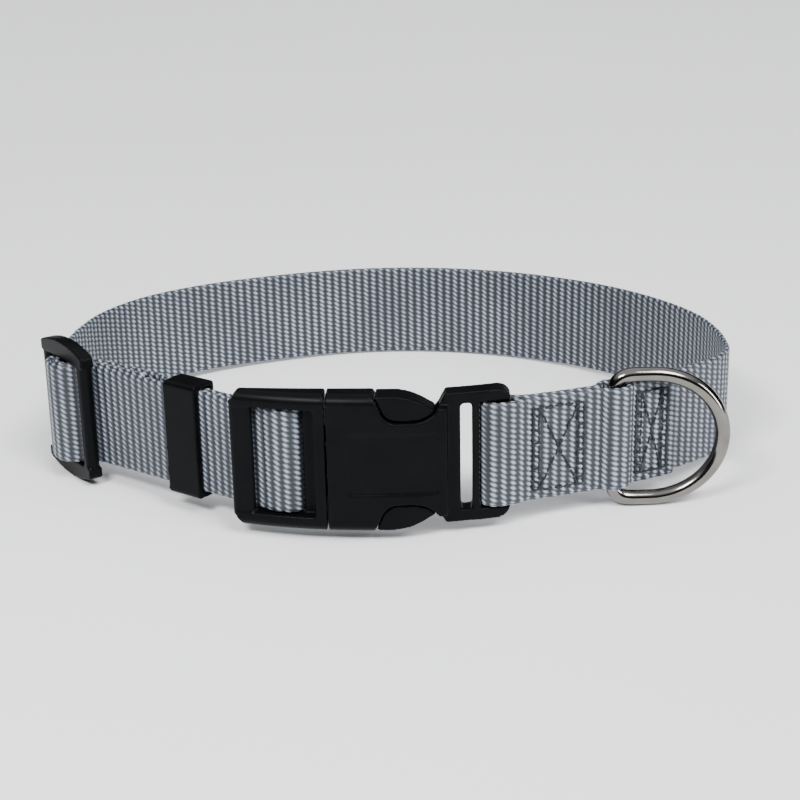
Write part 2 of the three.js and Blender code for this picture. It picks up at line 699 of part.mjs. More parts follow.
// Corner points and centre of mass of all pieces, in the assembly's frame
function weighed(group) {
  group.updateMatrixWorld(true);
  const corners = [];
  const moment = new THREE.Vector3();
  let mass = 0;
  group.traverse((mesh) => {
    if (!mesh.isMesh) return;
    const geometry = mesh.geometry.clone().applyMatrix4(mesh.matrixWorld);
    const position = geometry.attributes.position;
    const vertex = (i) => new THREE.Vector3().fromBufferAttribute(position, i);
    const index = geometry.index ? Array.from(geometry.index.array) : [...Array(position.count).keys()];
    for (let i = 0; i < index.length; i += 3) {
      const [a, b, c] = [vertex(index[i]), vertex(index[i + 1]), vertex(index[i + 2])];
      const grams = a.dot(b.clone().cross(c)) / 6 * mesh.userData.density;
      moment.addScaledVector(a.clone().add(b).add(c), grams / 4);
      mass += grams;
      corners.push(a);
    }
  });
  return { corners, centre: moment.divideScalar(mass) };
}

// The collar stands as it would by itself: on the face of its convex hull that is under its centre of mass.
function restingTurn({ corners, centre }) {
  const hull = new ConvexHull().setFromPoints(corners);
  const below = (face) => {
    if (face.normal.z > -0.9) return false;
    const ray = new THREE.Ray(centre, face.normal);
    const points = [face.edge.tail().point, face.edge.head().point, face.edge.next.head().point];
    return ray.intersectTriangle(...points, false, new THREE.Vector3()) !== null;
  };
  const foot = hull.faces.find(below);
  return new THREE.Quaternion().setFromUnitVectors(foot.normal, new THREE.Vector3(0, 0, -1));
}

assembly.quaternion.copy(restingTurn(weighed(assembly)));
assembly.updateMatrixWorld(true);
const box = new THREE.Box3().setFromObject(assembly, true);
assembly.position.set(-(box.min.x + box.max.x) / 2, -(box.min.y + box.max.y) / 2, -box.min.z);

const collar = new THREE.Group();
collar.add(assembly);

export default collar;
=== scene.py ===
# %% [markdown]
# # A webbing dog collar
#
# This lesson takes the collar's plain model and gives each piece its real surface.
# The collar is one strap of woven nylon, about 56 cm long, threaded through a
# side-release buckle, a slider and a keeper. At the right, its end goes round the
# buckle's bar, is sewn back on itself, and holds a D-ring in an open pocket between two
# boxes of stitches.

import math

import bmesh
import bpy
import numpy as np
from mathutils import Matrix, Quaternion, Vector


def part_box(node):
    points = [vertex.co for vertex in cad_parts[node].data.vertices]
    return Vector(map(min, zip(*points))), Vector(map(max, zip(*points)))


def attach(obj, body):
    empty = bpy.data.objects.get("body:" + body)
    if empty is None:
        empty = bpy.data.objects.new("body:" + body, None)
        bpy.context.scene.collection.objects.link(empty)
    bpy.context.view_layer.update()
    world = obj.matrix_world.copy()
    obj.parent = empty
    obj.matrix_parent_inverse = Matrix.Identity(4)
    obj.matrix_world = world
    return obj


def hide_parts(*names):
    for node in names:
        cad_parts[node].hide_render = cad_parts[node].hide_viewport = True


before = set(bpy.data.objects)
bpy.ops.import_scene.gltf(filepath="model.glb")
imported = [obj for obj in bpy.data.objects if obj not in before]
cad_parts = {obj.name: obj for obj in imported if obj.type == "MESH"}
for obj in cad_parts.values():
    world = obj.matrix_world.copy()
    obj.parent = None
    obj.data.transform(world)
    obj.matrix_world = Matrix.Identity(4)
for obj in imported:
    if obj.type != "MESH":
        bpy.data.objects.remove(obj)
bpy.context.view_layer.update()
for node in sorted(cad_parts):
    low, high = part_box(node)
    print(node, "size in mm:", [round(1000 * (b - a), 1) for a, b in zip(low, high)])

# %% [markdown]
# ## Where things are
#
# The strap and ring are easiest to draw in the collar's own frame: millimetres,
# with the strap's middle at height 0. The collar then leans by 3 degrees, because it
# rests on the slider, the ring and the back edge of the strap.

# %% The collar's own frame and its resting pose
MM = 0.001
rest_turn = Quaternion((0.9996513110, -0.0261909525, 0.0033601151, 0.0))
rest_shift = np.array([1.357739, 1.656880, 15.639582])
turn_rows = np.array(rest_turn.to_matrix())


def resting(points):
    """Points in the collar's own frame, turned and moved to its resting pose, in metres."""
    return (np.asarray(points, float) @ turn_rows.T + rest_shift) * MM


def turned(directions):
    """Directions in the collar's own frame, turned to its resting pose."""
    return np.asarray(directions, float) @ turn_rows.T


print("lean in degrees:", round(math.degrees(rest_turn.angle), 2))

# %% [markdown]
# ## Turning tables of numbers into surfaces
#
# Every new surface here is a grid of points: its rows follow one direction and its
# columns the other, and each four neighbours make a face. A closed surface has a
# volume, and the sign of that volume tells if its faces point outwards.

# %% Grid surfaces
def volume_of(points, corners):
    """Sum over all triangles of one sixth of the box product of their three corners."""
    a, b, c, d = (points[corners[:, k]] for k in range(4))
    first = np.einsum("ij,ij->i", a, np.cross(b, c))
    second = np.einsum("ij,ij->i", a, np.cross(c, d))
    return (first.sum() + second.sum()) / 6


def grid_corners(rows, columns, close_rows=False, close_columns=True):
    """Corner numbers of each face of a grid, and of its map, which never closes."""
    i = np.arange(rows if close_rows else rows - 1)
    j = np.arange(columns if close_columns else columns - 1)
    i, j = (part.ravel() for part in np.meshgrid(i, j, indexing="ij"))
    steps = ((0, 0), (1, 0), (1, 1), (0, 1))
    corners = np.stack([((i + a) % rows) * columns + (j + b) % columns for a, b in steps], axis=1)
    map_corners = np.stack([np.stack([i + a, j + b], axis=1) for a, b in steps], axis=1)
    return corners, map_corners


def new_piece(name, points, corners, map_points, caps=()):
    """A mesh from points, four-cornered faces, their map and the rims that a cap closes."""
    if volume_of(points, corners) < 0:
        corners = corners[:, ::-1]
        map_points = map_points[:, ::-1]
        caps = [cap[::-1] for cap in caps]
    loops = np.concatenate([corners.ravel(), *caps]).astype(np.int32)
    sizes = np.concatenate([np.full(len(corners), 4), [len(cap) for cap in caps]]).astype(np.int32)
    starts = np.concatenate([[0], np.cumsum(sizes)[:-1]]).astype(np.int32)
    mesh = bpy.data.meshes.new(name)
    mesh.vertices.add(len(points))
    mesh.vertices.foreach_set("co", np.ascontiguousarray(points, np.float32).ravel())
    mesh.loops.add(len(loops))
    mesh.loops.foreach_set("vertex_index", loops)
    mesh.polygons.add(len(sizes))
    mesh.polygons.foreach_set("loop_start", starts)
    mesh.update(calc_edges=True)
    mesh.validate()
    mesh.polygons.foreach_set("use_smooth", np.ones(len(mesh.polygons), bool))
    layer = mesh.uv_layers.new(name="weave")
    cap_map = np.zeros((len(loops) - corners.size, 2))
    flat_map = np.concatenate([map_points.reshape(-1, 2), cap_map])
    layer.data.foreach_set("uv", flat_map.astype(np.float32).ravel())
    made = bpy.data.objects.new(name, mesh)
    bpy.context.scene.collection.objects.link(made)
    print(name, "faces:", len(mesh.polygons))
    return made


# %% [markdown]
# ## Finishes from shader nodes
#
# A finish is a small sum of waves and noises. These helpers write such sums down
# briefly. All of them read the piece's own map or its own place, so the finish
# stays put when the piece moves.

# %% Shader helpers
class Finish:
    """A new material with a principled surface, and short names for the nodes it needs."""

    def __init__(self, name):
        self.material = bpy.data.materials.new(name)
        self.material.use_nodes = True
        self.tree = self.material.node_tree
        self.surface = self.tree.nodes["Principled BSDF"]

    def feed(self, socket, value):
        """Joins a socket to another node's output, or sets it to a constant."""
        if isinstance(value, bpy.types.NodeSocket):
            self.tree.links.new(value, socket)
        else:
            socket.default_value = value

    def sum(self, operation, a, b=0.0, c=0.0):
        node = self.tree.nodes.new("ShaderNodeMath")
        node.operation = operation
        for socket, value in zip(node.inputs, (a, b, c)):
            self.feed(socket, value)
        return node.outputs[0]

    def wave(self, turns, offset=0.0):
        """One half plus half a cosine: 1 at whole turns and 0 midway between them."""
        angle = self.sum("MULTIPLY", self.sum("ADD", turns, offset), 2 * math.pi)
        return self.sum("MULTIPLY_ADD", self.sum("COSINE", angle), 0.5, 0.5)

    def map_axes(self):
        node = self.tree.nodes.new("ShaderNodeUVMap")
        node.uv_map = "weave"
        parts = self.tree.nodes.new("ShaderNodeSeparateXYZ")
        self.tree.links.new(node.outputs[0], parts.inputs[0])
        return parts.outputs[0], parts.outputs[1]

    def joined(self, x, y, z=0.0):
        node = self.tree.nodes.new("ShaderNodeCombineXYZ")
        for socket, value in zip(node.inputs, (x, y, z)):
            self.feed(socket, value)
        return node.outputs[0]

    def place(self):
        return self.tree.nodes.new("ShaderNodeTexCoord").outputs["Object"]

    def noise(self, vector, scale, detail=3.0, roughness=0.55):
        node = self.tree.nodes.new("ShaderNodeTexNoise")
        self.feed(node.inputs["Vector"], vector)
        self.feed(node.inputs["Scale"], scale)
        self.feed(node.inputs["Detail"], detail)
        self.feed(node.inputs["Roughness"], roughness)
        return node.outputs["Fac"]

    def ramp(self, value, *stops):
        node = self.tree.nodes.new("ShaderNodeValToRGB")
        self.feed(node.inputs[0], value)
        elements = node.color_ramp.elements
        while len(elements) < len(stops):
            elements.new(0.5)
        for element, (position, colour) in zip(elements, stops):
            element.position = position
            element.color = (*colour, 1.0)
        return node.outputs[0]

    def bump(self, height, strength, distance):
        node = self.tree.nodes.new("ShaderNodeBump")
        self.feed(node.inputs["Height"], height)
        self.feed(node.inputs["Strength"], strength)
        self.feed(node.inputs["Distance"], distance)
        self.feed(self.surface.inputs["Normal"], node.outputs[0])

    def set(self, **values):
        for name, value in values.items():
            self.feed(self.surface.inputs[name.replace("_", " ")], value)


# %% [markdown]
# ## The strap's line
#
# Seen from above, the strap is one thin line that never crosses itself. It starts at
# the cut end beside the ring, runs to the buckle, comes back as the inner layer, goes
# round the neck, and threads the slider, the buckle's other half and the keeper. Where
# it threads the hard pieces, it is a strip pulled taut round circles. In this part a
# place seen from above is one complex number, because a product of two is a turn.

# %% Sizes of the layers and of the loop, in mm
STRAP_HALF_THICK = 0.8
LAYER_GAP = 0.35
CLEARANCE = 0.3  # between the strap and each hard piece
LAYER_PITCH = 2 * STRAP_HALF_THICK + LAYER_GAP
HUG = CLEARANCE + STRAP_HALF_THICK  # from a bar's surface to the middle of the strap round it
LOOP_WIDTH, LOOP_DEPTH = 166.0, 118.0
loop_shares = np.array([
    # across and back, as shares of half the loop's width and depth
    (0.945, -0.415), (0.990, -0.283), (0.993, -0.202), (0.986, -0.049), (0.948, 0.168),
    (0.845, 0.417), (0.673, 0.665), (0.413, 0.876), (0.140, 0.978), (-0.135, 0.978),
    (-0.405, 0.877), (-0.660, 0.707), (-0.828, 0.509), (-0.926, 0.276), (-0.960, 0.083),
    (-0.972, -0.060),
])
print("points round the neck:", len(loop_shares))


def in_loop(across, back):
    """A place in plan from its shares of half the loop's width and depth."""
    return across * LOOP_WIDTH / 2 + 1j * back * LOOP_DEPTH / 2


# %% The buckle's place and curved face
MALE_LENGTH, BODY_LENGTH, FRAME_LENGTH = 21.9, 27.0, 14.2
BUCKLE_CROWN = (MALE_LENGTH + BODY_LENGTH + FRAME_LENGTH) / 2 - MALE_LENGTH
FACE_RADIUS = 100.0
buckle_place = in_loop(-0.033, -1.059) - BUCKLE_CROWN
print("length of the buckle in mm:", round(MALE_LENGTH + BODY_LENGTH + FRAME_LENGTH, 1))


def arc_depth(x, radius):
    """How far an arc of this radius falls back at x from its crown."""
    return radius - np.sqrt(radius ** 2 - (x - BUCKLE_CROWN) ** 2)


# %% The sewn stretch, in lengths from the buckle's end bar
SEWN_START, SEWN_END = math.radians(15.2), math.radians(31.5)  # its headings
BOX_LEAD = 6.5  # from the end bar to the first box of stitches
POCKET_START = BOX_LEAD + 13.0
POCKET_LENGTH = 14.0
POCKET_PLATEAU = 2.0  # where the pocket's walls stand furthest apart
POCKET_SLACK = 0.35
SEWN_LENGTH = POCKET_START + POCKET_LENGTH + 11.5
RING_STATION = POCKET_START + 0.666 * POCKET_LENGTH
WIRE_RADIUS = 1.75
END_BAR_WIDTH, END_BAR_DEPTH = 4.6, 2.8
FRAME_INSET, FRAME_DEPTH = 2.6, 4.9
FOLD_STEPS = 12
FOLD_PUSH = 0.63  # of the fold towards the thin bar, until no gap shows
end_bar_start = BODY_LENGTH + FRAME_LENGTH - END_BAR_WIDTH
end_bar_middle = arc_depth(end_bar_start, FACE_RADIUS) + FRAME_INSET + FRAME_DEPTH / 2
end_bar_cap = buckle_place + end_bar_start + END_BAR_DEPTH / 2 + 1j * end_bar_middle
print("length of the sewn stretch in mm:", SEWN_LENGTH)


def sewn_line(station):
    """Place and heading of the line midway between the sewn layers: an arc whose heading
    grows evenly from the end bar."""
    bend = (SEWN_END - SEWN_START) / SEWN_LENGTH
    turn = SEWN_START + bend * station
    return end_bar_cap + 1j / bend * (np.exp(1j * SEWN_START) - np.exp(1j * turn)), turn


def hump(distance, span):
    """A squared cosine: 1 at no distance and 0 beyond the span."""
    return np.cos(np.pi / 2 * np.clip(distance / span, 0, 1)) ** 2


def sewn_half(station):
    """Half the distance between the sewn layers: half their pitch, and a hump round each of
    the end bar and the ring's bar."""
    least = LAYER_PITCH / 2
    at_bar = hump(station - (END_BAR_WIDTH - END_BAR_DEPTH), BOX_LEAD)
    past_plateau = np.abs(station - RING_STATION) - POCKET_PLATEAU / 2
    to_box = POCKET_START + POCKET_LENGTH - RING_STATION - POCKET_PLATEAU / 2
    at_ring = hump(past_plateau, to_box)
    return (least + (END_BAR_DEPTH / 2 + HUG - least) * at_bar
            + (WIRE_RADIUS + HUG + POCKET_SLACK - least) * at_ring)


# %% A strip pulled taut
ARC_STEP = math.radians(12)


def pulled(circles):
    """Points on a strip pulled taut round circles, each a centre, a radius and a turn, which
    is 1 for anticlockwise: straight tangents joined by arcs. A tangent's heading is the
    heading between the centres less the arcsine of the growth of radius times turn over
    their distance."""
    headings = []
    for (here, small, first), (there, large, second) in zip(circles, circles[1:]):
        growth = large * second - small * first
        headings.append(np.angle(there - here) - math.asin(growth / abs(there - here)))
    points = []
    arrivals, departures = headings[:1] + headings, headings + headings[-1:]
    for (centre, radius, turn), arrive, leave in zip(circles, arrivals, departures):
        sweep = turn * (leave - arrive) % (2 * math.pi)
        sweep = 0.0 if sweep > 1.5 * math.pi else sweep
        angles = arrive + turn * np.linspace(0, sweep, math.ceil(sweep / ARC_STEP) + 1)
        points.extend(centre - 1j * np.exp(1j * angles) * radius * turn)
    return points


# %% The circles in the slider and in the buckle's guide half
SLIDER_HEADING = np.exp(1j * math.radians(-52))
SLIDER_LENGTH, SLIDER_BAR, SLIDER_MIDDLE_WIDTH, SLIDER_MIDDLE_DEPTH = 22.0, 3.8, 4.0, 2.4
OUTER_BAR_WIDTH, MIDDLE_BAR_WIDTH, MALE_BAR_DEPTH, MALE_SLOT = 5.4, 5.0, 2.6, 4.4
OUTER_BAR_INSET, MIDDLE_BAR_INSET = 0.2, 3.0  # behind the buckle's face
slider_place = in_loop(-0.938, -0.381)
slider_bar_offset = (SLIDER_LENGTH - SLIDER_BAR) / 2
slider_cap_offset = (SLIDER_MIDDLE_WIDTH - SLIDER_MIDDLE_DEPTH) / 2
outer_bar_middle = OUTER_BAR_WIDTH / 2 - MALE_LENGTH
middle_bar_middle = OUTER_BAR_WIDTH + MALE_SLOT + MIDDLE_BAR_WIDTH / 2 - MALE_LENGTH


def slider_circle(offset, depth, layers, turn):
    """Round one of the slider's bars, over a number of layers."""
    return slider_place + SLIDER_HEADING * offset, depth / 2 + HUG + layers * LAYER_PITCH, turn


def male_circle(middle, width, inset, side, turn):
    """Round one end of a bar of the guide half, which slopes as the buckle's face does."""
    slope = math.asin((middle - BUCKLE_CROWN) / FACE_RADIUS)
    centre = middle + 1j * (arc_depth(middle, FACE_RADIUS) + inset + MALE_BAR_DEPTH / 2)
    cap = np.exp(1j * slope) * side * (width - MALE_BAR_DEPTH) / 2
    return buckle_place + centre + cap, MALE_BAR_DEPTH / 2 + HUG, turn


def slider_end(layers, turn, side=1):
    return slider_circle(side * slider_bar_offset, SLIDER_BAR, layers, turn)


def slider_middle(layers, side):
    return slider_circle(side * slider_cap_offset, SLIDER_MIDDLE_DEPTH, layers, 1)


outer_cap = male_circle(outer_bar_middle, OUTER_BAR_WIDTH, OUTER_BAR_INSET, 1, -1)
middle_caps = [male_circle(middle_bar_middle, MIDDLE_BAR_WIDTH, MIDDLE_BAR_INSET, side, 1)
               for side in (-1, 1)]
print("radius of the bends round those bars in mm:", round(outer_cap[1], 1))

# %% The strap's whole line
FOLD_RADIUS, FOLD_FROM_BAR = 3.0, 2.0
GATHER_RADIUS, GATHER_LENGTH = 10.0, 11.0  # past the sewn end, where two layers come together
SEWN_LEG_LENGTH = 14.5
doubled_start, doubled_end = pulled([slider_end(0, -1), outer_cap])
doubled_way = (doubled_end - doubled_start) / abs(doubled_end - doubled_start)
leg_end = SEWN_LEG_LENGTH - abs(doubled_end - doubled_start)
print("length of the doubled stretch in mm:", round(abs(doubled_end - doubled_start), 1))


def beside_doubled(ahead, layers, out=0.0):
    """A place from the doubled stretch's end: ahead, and out from under these layers."""
    return doubled_end + doubled_way * (ahead - 1j * (out - layers * LAYER_PITCH))


def free_bend(ahead, layers, radius, turn):
    return beside_doubled(ahead, layers, turn * radius), radius, turn


def strap_corners():
    """The line's points: the outer sewn layer, the fold, the inner layer, the loop, and the
    taut strip through the slider, the guide half and the slider again."""
    stations = np.arange(1.0, SEWN_LENGTH)
    centres, turns = sewn_line(stations)
    apart = -1j * np.exp(1j * turns) * sewn_half(stations)
    end_centre, end_turn = sewn_line(SEWN_LENGTH)
    first = end_centre - 1j * np.exp(1j * end_turn) * sewn_half(SEWN_LENGTH)
    angle = np.linspace(0, np.pi, FOLD_STEPS + 1)
    fold = np.exp(1j * SEWN_START) * (
        -1j * np.exp(-1j * angle) * sewn_half(0.0) - FOLD_PUSH * np.sin(angle))
    loop = in_loop(*loop_shares.T)
    threaded = pulled([
        (loop[-1], 0.0, 1),
        slider_end(0, -1, -1), slider_middle(1, -1), slider_middle(1, 1), slider_end(0, -1),
        outer_cap, *middle_caps, middle_caps[0],
        free_bend(-FOLD_FROM_BAR, 1, FOLD_RADIUS, -1),
        free_bend(leg_end + GATHER_LENGTH, 1, GATHER_RADIUS, -1),
        free_bend(leg_end + LAYER_PITCH, 2, GATHER_RADIUS, 1),
        slider_end(2, 1), slider_middle(0, -1), slider_middle(0, 1), slider_end(1, -1),
        (beside_doubled(leg_end, 1), 0.0, 1),
    ])
    return np.concatenate([
        [first], (centres + apart)[::-1], end_bar_cap + fold, centres - apart, loop, threaded[1:]])


def smooth_line(corners, steps=60):
    """Points on a smooth curve through the corners, and the curve's length up to each. From
    one corner to the next takes the root of their distance as its time. The speed at a
    corner is the sum of its two legs' mean speeds less the mean speed over both, and the
    curve is the cubic that has these places and speeds at its ends."""
    before, after = 2 * corners[0] - corners[1], 2 * corners[-1] - corners[-2]
    spots = np.concatenate([[before], corners, [after]])
    times = np.sqrt(np.abs(np.diff(spots)))
    legs = np.diff(spots) / times
    speeds = legs[:-1] + legs[1:] - (spots[2:] - spots[:-2]) / (times[:-1] + times[1:])
    start, end = corners[:-1, None], corners[1:, None]
    leaving = (speeds[:-1] * times[1:-1])[:, None]
    arriving = (speeds[1:] * times[1:-1])[:, None]
    t = np.linspace(0, 1, steps, endpoint=False)
    curve = (start + leaving * t + (3 * (end - start) - 2 * leaving - arriving) * t ** 2
             + (2 * (start - end) + leaving + arriving) * t ** 3)
    dense = np.append(curve.ravel(), corners[-1])
    lengths = np.concatenate([[0], np.cumsum(np.abs(np.diff(dense)))])
    return np.stack([dense.real, dense.imag], axis=1), lengths


dense_line, dense_lengths = smooth_line(strap_corners())
strap_length = dense_lengths[-1]
dense_way = np.gradient(dense_line, dense_lengths, axis=0)
dense_heading = np.unwrap(np.arctan2(dense_way[:, 1], dense_way[:, 0]))


def along(stations):
    """Place, direction and left-hand normal of the line at these lengths from its start."""
    x, y = (np.interp(stations, dense_lengths, dense_line[:, k]) for k in range(2))
    heading = np.interp(stations, dense_lengths, dense_heading)
    flat = np.zeros_like(x)
    place = np.stack([x, y, flat], axis=-1)
    way = np.stack([np.cos(heading), np.sin(heading), flat], axis=-1)
    left = np.stack([-np.sin(heading), np.cos(heading), flat], axis=-1)
    return place, way, left


def station_beside(stations, low, high):
    """The station between low and high whose place is nearest to the place at each station."""
    candidates = np.linspace(low, high, 800)
    spots = along(candidates)[0]
    gaps = np.linalg.norm(along(np.asarray(stations))[0][:, None] - spots[None], axis=2)
    return candidates[gaps.argmin(axis=1)]


print("strap length in mm:", round(float(strap_length), 1))

# %% [markdown]
# ## The woven strap
#
# The webbing has upright ribs, 2.15 mm apart. Each rib is a stack of short yarns,
# 1.25 mm apart, that ride over a thick cross yarn and dive at both ends. They lean, a
# little less in every second rib, and those ribs are shifted by half a yarn, so the dark
# gaps between ribs zigzag. The pattern runs round the strap's edges, so both of its faces
# lean the same way for someone who looks at them.
# A picture could fake this, but the ribs catch the light and throw shadows where the
# strap bends, so the yarns are modelled: each one is a rounded, leaning bump.

# %% The yarns
STRAP_HALF = 12.5
EDGE_ROUND = 0.78
RIB_PITCH = 2.15
YARN_PITCH = 1.25
YARN_RELIEF = 0.24
YARN_LEAN = 1.05  # in yarns for each rib
YARN_LEAN_LOSS = 0.4  # in every second rib
LEAST_REACH = 0.20  # of a yarn from its rib's middle, in ribs, in the groove between two yarns
REACH_GAIN = 0.29  # more than that on the yarn's middle line
REACH_POWER = 2.5
GROOVE_HEIGHT = 0.5  # between two yarns of a rib, as a share of their height
SAMPLES_PER_RIB = 7
SAMPLES_PER_YARN = 4
EDGE_STEPS = 5
EDGE_DIP = 0.1  # of the strap's edges between two ribs


def yarn_height(rib_turns, yarn_turns):
    """1 on top of a yarn and 0 in the gaps: one less a power of the distance from the rib's
    middle, as a share of the yarn's reach. The reach is longest on the yarn's middle line
    and falls to both sides as a cosine's size does. The middle line leans, and leans less
    in odd ribs."""
    column = np.floor(rib_turns + 0.5)
    beside = rib_turns - column
    lean = YARN_LEAN - YARN_LEAN_LOSS * np.mod(column, 2)
    across = np.abs(np.cos(np.pi * (yarn_turns - 0.5 * column - lean * beside)))
    reach = LEAST_REACH + REACH_GAIN * across
    level = GROOVE_HEIGHT + (1 - GROOVE_HEIGHT) * across
    return np.clip(1 - np.abs(beside / reach) ** REACH_POWER, 0, 1) * level


# %% The section round the strap
def strap_section():
    """Columns round the strap: height, share across the thickness, share of the edge's round
    and the distance round the section, which goes on to the first column once more."""
    flat = STRAP_HALF - EDGE_ROUND
    count = int(round(2 * flat / YARN_PITCH * SAMPLES_PER_YARN))
    rise = np.linspace(-flat, flat, count + 1)
    bend = np.linspace(0, np.pi, EDGE_STEPS + 2)[1:-1]
    full, none = np.ones(count + 1), np.zeros(count + 1)
    turn = np.full(EDGE_STEPS, flat)
    height = np.concatenate([rise, turn, rise[::-1], -turn])
    across = np.concatenate([full, np.cos(bend), -full, -np.cos(bend)])
    edge = np.concatenate([none, np.sin(bend), none, -np.sin(bend)])
    outline = np.stack([across * STRAP_HALF_THICK, height + edge * EDGE_ROUND], axis=1)
    strides = np.linalg.norm(np.roll(outline, -1, axis=0) - outline, axis=1)
    return height, across, edge, np.concatenate([[0], np.cumsum(strides)]) - flat


# %% A stretch of strap
SHORTEST_STEP = 0.05  # in mm, between the last two rows of the strap


def strap_piece(name, start_rib, end_rib, caps):
    """The strap between two of its ribs' gaps: the section carried along the line, with each
    face sunk by the relief times one less the yarns' height."""
    ribs = np.linspace(start_rib, end_rib, (end_rib - start_rib) * SAMPLES_PER_RIB + 1)
    if caps[1]:
        ribs = ribs[ribs * RIB_PITCH < strap_length - SHORTEST_STEP]
        ribs = np.append(ribs, strap_length / RIB_PITCH)
    place, _, left = along(ribs * RIB_PITCH)
    height, across, edge, distance = strap_section()
    yarn_turns = distance[None] / YARN_PITCH
    turns = ribs[:, None] + 0.5
    depth = YARN_RELIEF * (1 - yarn_height(turns, yarn_turns[:, :-1]))
    gap = 0.5 - 0.5 * np.cos(2 * np.pi * turns)
    z = height[None] + edge[None] * EDGE_ROUND * (1 - EDGE_DIP * gap)
    out = across[None] * (STRAP_HALF_THICK - depth)
    points = place[:, None] + left[:, None] * out[..., None]
    points[..., 2] += z
    rows, columns = z.shape
    corners, spots = grid_corners(rows, columns)
    u = np.broadcast_to(turns, (rows, columns + 1))
    v = np.broadcast_to(yarn_turns, (rows, columns + 1))
    chart = np.stack([u, v], axis=-1)[spots[..., 0], spots[..., 1]]
    rims = [np.arange(columns)] if caps[0] else []
    if caps[1]:
        rims.append(np.arange(columns)[::-1] + (rows - 1) * columns)
    made = new_piece(name, resting(points).reshape(-1, 3), corners, chart, rims)
    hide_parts("strap")
    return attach(made, "collar")


# %% The strap in four stretches
all_ribs = int(math.ceil(strap_length / RIB_PITCH))
print("ribs:", all_ribs, "and yarns in each:", int(2 * STRAP_HALF / YARN_PITCH))
strap_pieces = [
    strap_piece("strap_sewn_end", 0, 24, (True, False)),
    strap_piece("strap_right", 24, 103, (False, False)),
    strap_piece("strap_back", 103, 182, (False, False)),
    strap_piece("strap_front", 182, all_ribs, (False, True)),
]

# %% [markdown]
# ## What the webbing is made of
#
# Nylon yarn is smooth and looks bright on top and dark in the gaps, where little light gets
# in. The finish paints that light into the colour: painted shade in the gaps and a painted
# highlight on the yarns' tops, both from the yarns' height. It repeats the yarns' shape
# finely, from the strap's own map, where one turn is one rib or one yarn. Fine fibres run
# along each yarn and break up the shine.

# %% The webbing's finish
FIBRES_PER_RIB = 2.0
FIBRES_PER_YARN = 8.0
webbing = Finish("woven_nylon")
rib_turns, yarn_turns = webbing.map_axes()
column = webbing.sum("FLOOR", webbing.sum("ADD", rib_turns, 0.5))
beside = webbing.sum("SUBTRACT", rib_turns, column)
yarn_place = webbing.sum("MULTIPLY_ADD", column, -0.5, yarn_turns)
lean = webbing.sum("MULTIPLY_ADD", webbing.sum("MODULO", column, 2.0), -YARN_LEAN_LOSS, YARN_LEAN)
yarn_place = webbing.sum("SUBTRACT", yarn_place, webbing.sum("MULTIPLY", lean, beside))
yarn_angle = webbing.sum("MULTIPLY", yarn_place, math.pi)
yarn_wave = webbing.sum("ABSOLUTE", webbing.sum("COSINE", yarn_angle))
yarn_reach = webbing.sum("MULTIPLY_ADD", yarn_wave, REACH_GAIN, LEAST_REACH)
reach_share = webbing.sum("ABSOLUTE", webbing.sum("DIVIDE", beside, yarn_reach))
from_middle = webbing.sum("POWER", reach_share, REACH_POWER)
rise = webbing.sum("MAXIMUM", webbing.sum("SUBTRACT", 1.0, from_middle), 0.0)
yarn_level = webbing.sum("MULTIPLY_ADD", yarn_wave, 1 - GROOVE_HEIGHT, GROOVE_HEIGHT)
yarn = webbing.sum("MULTIPLY", rise, yarn_level)
fibre_place = webbing.joined(
    webbing.sum("MULTIPLY", rib_turns, FIBRES_PER_RIB),
    webbing.sum("MULTIPLY", yarn_turns, FIBRES_PER_YARN))
fibres = webbing.noise(fibre_place, 1.0, 4.0, 0.6)
patches = webbing.noise(webbing.place(), 45.0, 2.0)
# Painted shade and painted highlight: the tone is low in the gaps between yarns and high on their
# tops, from the yarns' height, with fibre noise and random patches added.
painted_shade_and_fibre_tone = webbing.sum("MULTIPLY_ADD", webbing.sum("SUBTRACT", fibres, 0.5), 0.45, yarn)
painted_shade_and_fibre_tone = webbing.sum("MULTIPLY_ADD", webbing.sum("SUBTRACT", patches, 0.5), 0.25, painted_shade_and_fibre_tone)
# The ramp gives near black to the painted shade in the gaps and a pale blue-grey to the painted
# highlight on the yarns' tops.
colour = webbing.ramp(
    painted_shade_and_fibre_tone, (0.0, (0.010, 0.013, 0.018)), (0.4, (0.028, 0.034, 0.045)),
    (0.75, (0.080, 0.096, 0.123)), (1.0, (0.32, 0.355, 0.415)))
webbing.set(Base_Color=colour, Roughness=webbing.sum("MULTIPLY_ADD", fibres, 0.3, 0.32))
webbing.set(Sheen_Weight=0.15, Sheen_Roughness=0.35)
webbing.bump(webbing.sum("MULTIPLY_ADD", fibres, 0.3, yarn), 0.6, 0.00012)
for made in strap_pieces:
    made.data.materials.append(webbing.material)
print("webbing finish nodes:", len(webbing.tree.nodes))

# %% [markdown]
# ## Stitches
#
# Grey thread holds the doubled stretches together. Each box has an upright double row at
# both ends with short ties between its rows, a row along its top and bottom, and a
# cross. A stitch is a short thread whose ends dive into the web, so it is a thin tube
# whose middle rises and whose ends sink. The needle goes through both layers, so the
# boxes beside the ring show on both sides.

# %% Stitch places
THREAD_RADIUS = 0.22
THREAD_WIDTH, THREAD_HEIGHT = 1.15, 0.85  # shares of the radius: the thread is pressed flat
THREAD_SINK, THREAD_RISE, THREAD_DIVE = 0.02, 0.15, 0.12  # from the strap's face, in mm
STITCH_PITCH = 2.3
STITCH_SHARE = 0.97  # of the pitch that the thread covers
STITCH_JITTER = 0.16
ROW_SPACING = 1.4  # between the two upright rows at a box's end
TIES = 6
TIE_REACH = 0.8  # as a share of the box's half height
TIE_OVERHANG = 0.4

jitter = np.random.default_rng(7)


